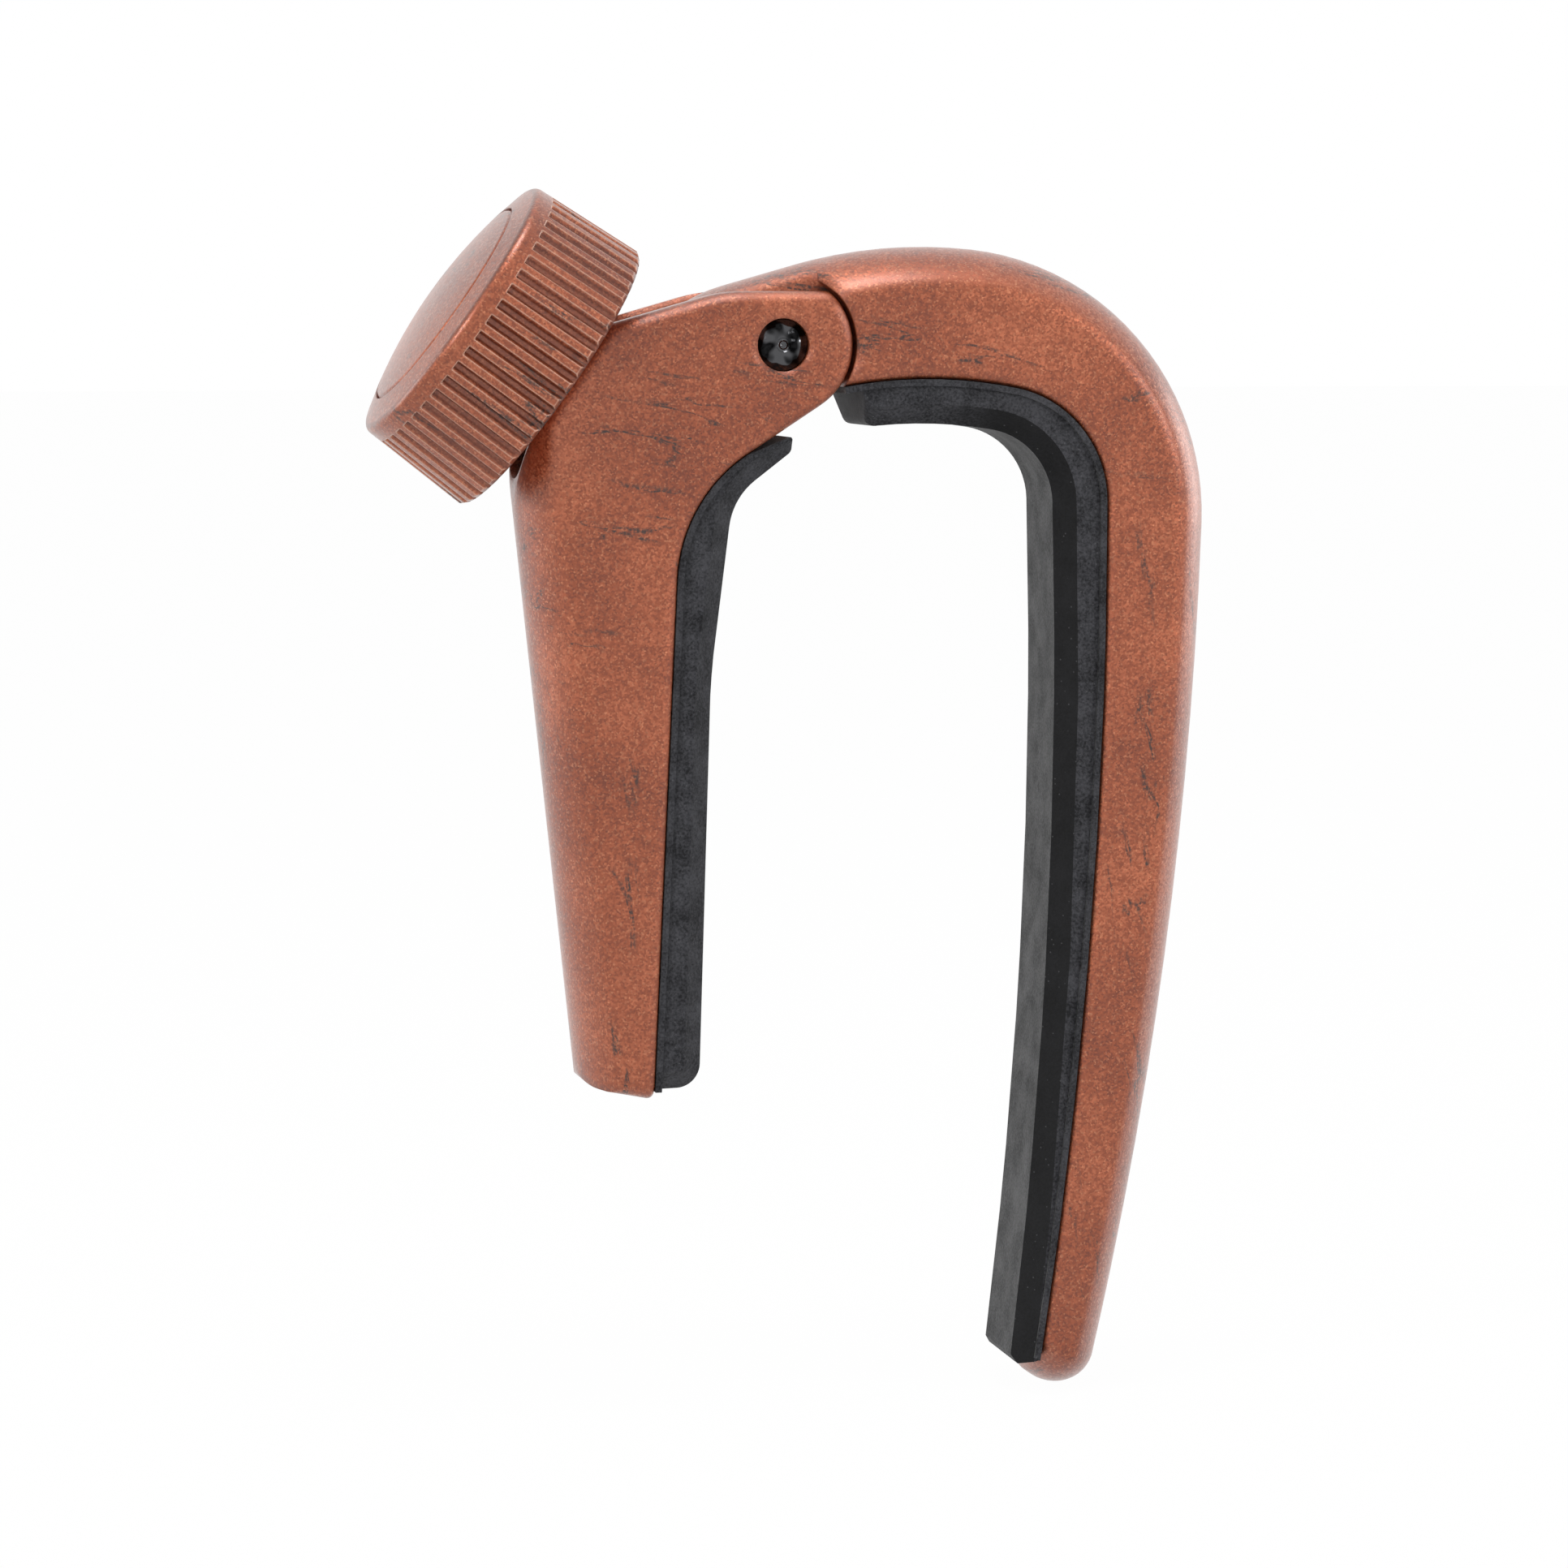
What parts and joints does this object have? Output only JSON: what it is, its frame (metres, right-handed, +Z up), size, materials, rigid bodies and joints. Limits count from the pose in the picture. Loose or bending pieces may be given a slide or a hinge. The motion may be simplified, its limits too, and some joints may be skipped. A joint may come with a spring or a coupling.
{
  "type": "guitar capo",
  "caption": "Screw-knob capo: a hinged jaw behind the neck and a rubber-faced arm over the strings, drawn together by a ribbed knob.",
  "frame": {"origin": "centre of the string pad's pressing face", "axes": "+Z up the string arm towards the arch, +X from the neck pad to the string pad, +Y along the strings"},
  "size_m": [0.0625, 0.0224, 0.0893],
  "materials": {
    "paint_frame": "copper-brown metallic lacquer on a zinc casting",
    "paint_jaw": "copper-brown metallic lacquer on a zinc casting",
    "paint_knob": "copper-brown metallic lacquer, ribbed",
    "paint_cap": "copper-brown metallic lacquer, plain dome",
    "rubber_string": "matt moulded rubber",
    "rubber_neck": "matt moulded rubber",
    "black_pin": "gloss black steel",
    "nylon": "natural nylon",
    "thrust_nylon": "natural nylon",
    "spring_steel": "bright spring wire",
    "nut_brass": "turned",
    "screw_steel": "zinc plated"
  },
  "bodies": {
    "frame": {"frame": "paint_frame", "string_pad": "rubber_string", "hinge_pin": "black_pin", "hinge_washer_front": "nylon", "hinge_washer_back": "nylon", "opening_spring": "spring_steel"},
    "jaw": {"jaw": "paint_jaw", "neck_pad": "rubber_neck"},
    "barrel_nut": {"barrel_nut": "nut_brass"},
    "thrust_washer": {"thrust_washer": "thrust_nylon"},
    "knob": {"knob": "paint_knob", "knob_cap": "paint_cap", "clamp_screw": "screw_steel"}
  },
  "joints": [
    {"name": "jaw_hinge", "type": "hinge", "parent": "frame", "child": "jaw", "pos_m": [-0.02045, 0, 0.043], "axis": [0, -1, 0], "range_deg": [-6.05, 10.05], "deforming": ["opening_spring"]},
    {"name": "nut_turn", "type": "hinge", "parent": "frame", "child": "barrel_nut", "pos_m": [-0.03132, 0, 0.03678], "axis": [0, -1, 0], "range_deg": [-6.05, 10.05]},
    {"name": "screw_travel", "type": "slide", "parent": "barrel_nut", "child": "thrust_washer", "axis": [0.8171, 0, -0.5764], "range_m": [-0.00116, 0.00193]},
    {"name": "knob_turn", "type": "hinge", "parent": "thrust_washer", "child": "knob", "pos_m": [-0.03664, 0, 0.04053], "axis": [0.8171, 0, -0.5764], "range_deg": [-600, 1000]}
  ],
  "couplings": [
    {"joint": "knob_turn", "follows": "screw_travel", "rad_per_m": 8976},
    {"joint": "jaw_hinge", "follows": "screw_travel", "rad_per_m": 90.091},
    {"joint": "nut_turn", "follows": "screw_travel", "rad_per_m": 90.091}
  ]
}
